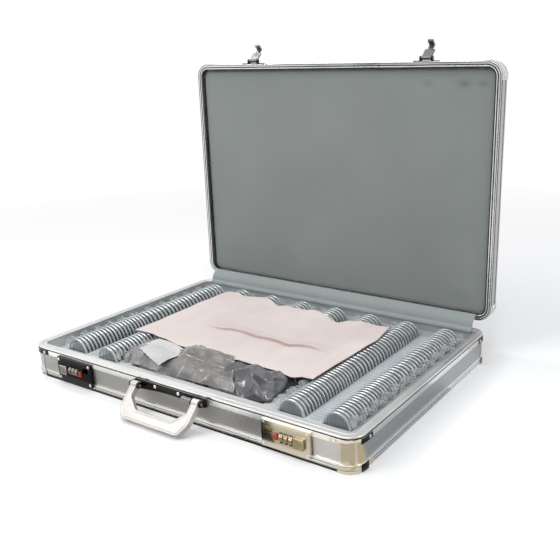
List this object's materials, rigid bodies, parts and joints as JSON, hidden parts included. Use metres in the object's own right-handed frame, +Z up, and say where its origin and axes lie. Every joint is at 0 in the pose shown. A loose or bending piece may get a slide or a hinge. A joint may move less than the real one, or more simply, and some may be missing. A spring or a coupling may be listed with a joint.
{
  "type": "trial lens set",
  "caption": "Aluminium attache case, lid open, holding rows of round trial lenses with side grips in a slotted tray, with a front well, hasp locks and a folding handle.",
  "frame": {"origin": "middle of the case's flat underside, on the surface it stands on", "axes": "+X to the right as the user faces the locks, +Y towards the hinges, +Z up"},
  "size_m": [0.5334, 0.4407, 0.4394],
  "materials": {
    "case_frame": "satin",
    "case_panel": "hatched",
    "bright_metal": "polished",
    "dark_metal": "polished",
    "steel_pin": "satin",
    "handle": "satin",
    "tray": "matte",
    "label": "matte",
    "lens_rim": "polished",
    "lens_glass": "clear",
    "packing_sheet": "soft",
    "clear_film": "clear",
    "dark_pouch": "glossy",
    "leaflet": "matte",
    "lining": "matte",
    "dial": "satin",
    "red_button": "glossy",
    "lid_pad": "matte"
  },
  "bodies": {
    "case_base": {"base_bottom_panel": "case_panel", "base_lower_frame": "case_frame", "base_front_panel": "case_panel", "base_rear_panel": "case_panel", "base_left_panel": "case_panel", "base_right_panel": "case_panel", "base_rim_frame": "case_frame", "base_corner_plates": "bright_metal", "base_upper_corner_fittings": "bright_metal", "base_lower_corner_fittings": "bright_metal", "base_corner_rivets": "bright_metal", "lens_tray": "tray", "label_strips": "label", "outer_left_rack": "tray", "inner_left_rack": "tray", "inner_right_rack": "tray", "outer_right_rack": "tray", "centre_racks": "tray", "outer_left_rims": "lens_rim", "inner_left_rims": "lens_rim", "inner_right_rims": "lens_rim", "outer_right_rims": "lens_rim", "centre_1_rims": "lens_rim", "centre_2_rims": "lens_rim", "centre_3_rims": "lens_rim", "centre_4_rims": "lens_rim", "lens_glass": "lens_glass", "packing_sheet": "packing_sheet", "film_bag": "clear_film", "dark_pouch": "dark_pouch", "leaflet": "leaflet", "gusset": "lining", "left_lock_body": "bright_metal", "right_lock_body": "bright_metal", "lock_rivets": "bright_metal", "dial_shafts": "steel_pin", "handle_bracket": "dark_metal", "handle_pins": "steel_pin", "hinge_base_leaves": "bright_metal", "hinge_pins": "steel_pin"},
    "left_dial_outer_body": {"left_dial_outer": "dial"},
    "left_dial_middle_body": {"left_dial_middle": "dial"},
    "left_dial_inner_body": {"left_dial_inner": "dial"},
    "right_dial_inner_body": {"right_dial_inner": "dial"},
    "right_dial_middle_body": {"right_dial_middle": "dial"},
    "right_dial_outer_body": {"right_dial_outer": "dial"},
    "left_slide": {"left_slide_button": "bright_metal"},
    "right_slide": {"right_slide_button": "bright_metal"},
    "left_push": {"left_push_button": "red_button"},
    "right_push": {"right_push_button": "red_button"},
    "carrying_handle": {"handle": "handle"},
    "lid": {"hinge_lid_leaves": "bright_metal", "lid_frame": "case_frame", "lid_skin_panel": "case_panel", "lid_pad": "lid_pad", "lid_fittings": "bright_metal", "hasp_plates": "bright_metal"},
    "left_hasp_arm": {"left_hasp": "bright_metal"},
    "right_hasp_arm": {"right_hasp": "bright_metal"}
  },
  "joints": [
    {"name": "lid_hinge", "type": "hinge", "parent": "case_base", "child": "lid", "pos_m": [0, 0.187, 0.0442], "axis": [1, 0, 0], "range_deg": [0, 91], "deforming": ["gusset"]},
    {"name": "left_hasp_hinge", "type": "hinge", "parent": "lid", "child": "left_hasp_arm", "pos_m": [-0.1525, 0.20207, 0.41469], "axis": [1, 0, 0], "range_deg": [0, 135]},
    {"name": "right_hasp_hinge", "type": "hinge", "parent": "lid", "child": "right_hasp_arm", "pos_m": [0.1525, 0.20207, 0.41469], "axis": [1, 0, 0], "range_deg": [0, 135]},
    {"name": "handle_hinge", "type": "hinge", "parent": "case_base", "child": "carrying_handle", "pos_m": [0, -0.186, 0.035], "axis": [-1, 0, 0], "range_deg": [0, 120]},
    {"name": "left_inner_dial", "type": "hinge", "parent": "case_base", "child": "left_dial_inner_body", "pos_m": [-0.1705, -0.178, 0.0215], "axis": [1, 0, 0], "continuous": true},
    {"name": "left_middle_dial", "type": "hinge", "parent": "case_base", "child": "left_dial_middle_body", "pos_m": [-0.177, -0.178, 0.0215], "axis": [1, 0, 0], "continuous": true},
    {"name": "left_outer_dial", "type": "hinge", "parent": "case_base", "child": "left_dial_outer_body", "pos_m": [-0.1835, -0.178, 0.0215], "axis": [1, 0, 0], "continuous": true},
    {"name": "left_slide_button", "type": "slide", "parent": "case_base", "child": "left_slide", "axis": [-1, 0, 0], "range_m": [0, 0.0045], "stiffness_N_per_m": 250, "springref_m": -0.004},
    {"name": "left_push_button", "type": "slide", "parent": "case_base", "child": "left_push", "axis": [0, 1, 0], "range_m": [0, 0.0015], "stiffness_N_per_m": 400, "springref_m": -0.002},
    {"name": "right_inner_dial", "type": "hinge", "parent": "case_base", "child": "right_dial_inner_body", "pos_m": [0.1705, -0.178, 0.0215], "axis": [1, 0, 0], "continuous": true},
    {"name": "right_middle_dial", "type": "hinge", "parent": "case_base", "child": "right_dial_middle_body", "pos_m": [0.177, -0.178, 0.0215], "axis": [1, 0, 0], "continuous": true},
    {"name": "right_outer_dial", "type": "hinge", "parent": "case_base", "child": "right_dial_outer_body", "pos_m": [0.1835, -0.178, 0.0215], "axis": [1, 0, 0], "continuous": true},
    {"name": "right_slide_button", "type": "slide", "parent": "case_base", "child": "right_slide", "axis": [1, 0, 0], "range_m": [0, 0.0045], "stiffness_N_per_m": 250, "springref_m": -0.004},
    {"name": "right_push_button", "type": "slide", "parent": "case_base", "child": "right_push", "axis": [0, 1, 0], "range_m": [0, 0.0015], "stiffness_N_per_m": 400, "springref_m": -0.002}
  ]
}
